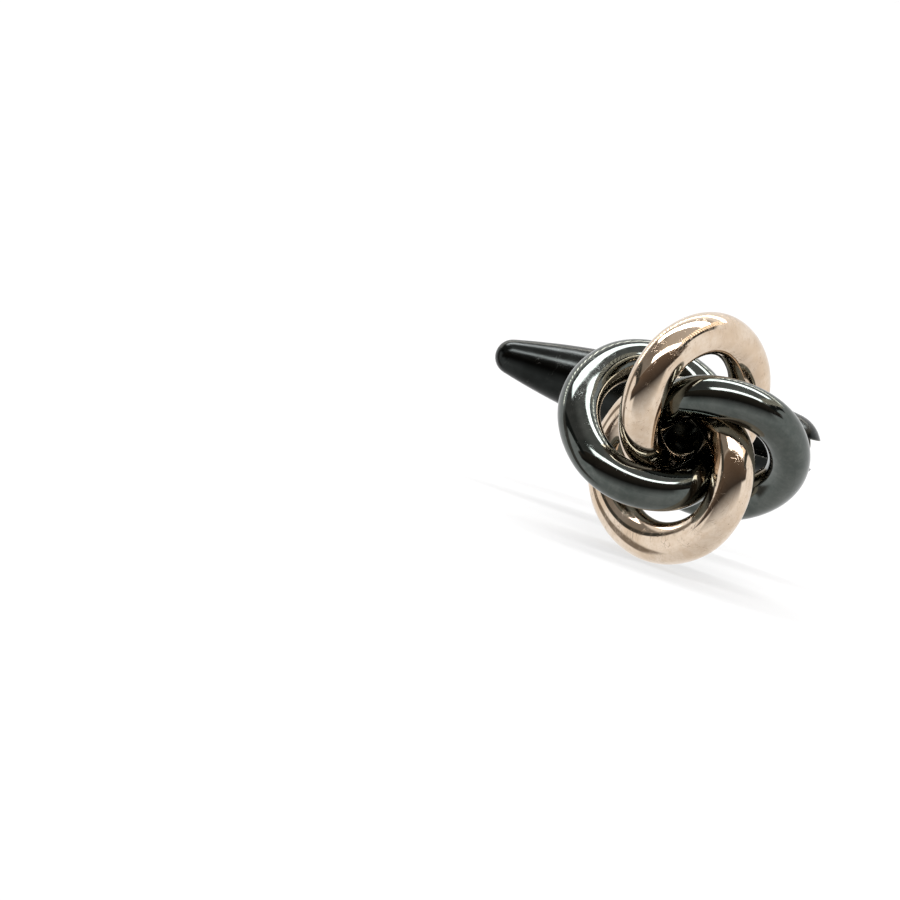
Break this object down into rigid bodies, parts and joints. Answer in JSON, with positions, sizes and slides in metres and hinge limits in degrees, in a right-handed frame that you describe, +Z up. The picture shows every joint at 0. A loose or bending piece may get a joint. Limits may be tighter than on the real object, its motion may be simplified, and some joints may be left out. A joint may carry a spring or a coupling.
{
  "type": "cufflink",
  "caption": "Cufflink with a knot of interlocked two-tone wire rings on a flat post, and a torpedo-shaped toggle that swivels to lock behind the cuff.",
  "frame": {"origin": "centre of the back cup's rear face, where the post meets the cuff", "axes": "+Y along the post, away from the knot; +X along the closed toggle, towards its blunt end; +Z up"},
  "size_m": [0.018, 0.0217, 0.0134],
  "materials": {
    "rose_gold_plate": "polished rose gold plating",
    "black_plate": "polished black plating",
    "spring_steel": "plain rolled strip"
  },
  "bodies": {
    "head": {"rose_ring_top": "rose_gold_plate", "rose_ring_bottom": "rose_gold_plate", "black_ring_left": "black_plate", "black_ring_right": "black_plate", "back_cup": "black_plate", "post": "black_plate"},
    "toggle": {"toggle_body": "black_plate", "hinge_pin": "black_plate", "leaf_spring": "spring_steel"}
  },
  "joints": [
    {"name": "toggle_hinge", "type": "hinge", "parent": "head", "child": "toggle", "pos_m": [0, 0.0098, 0], "axis": [0, 0, -1], "range_deg": [0, 90]}
  ]
}
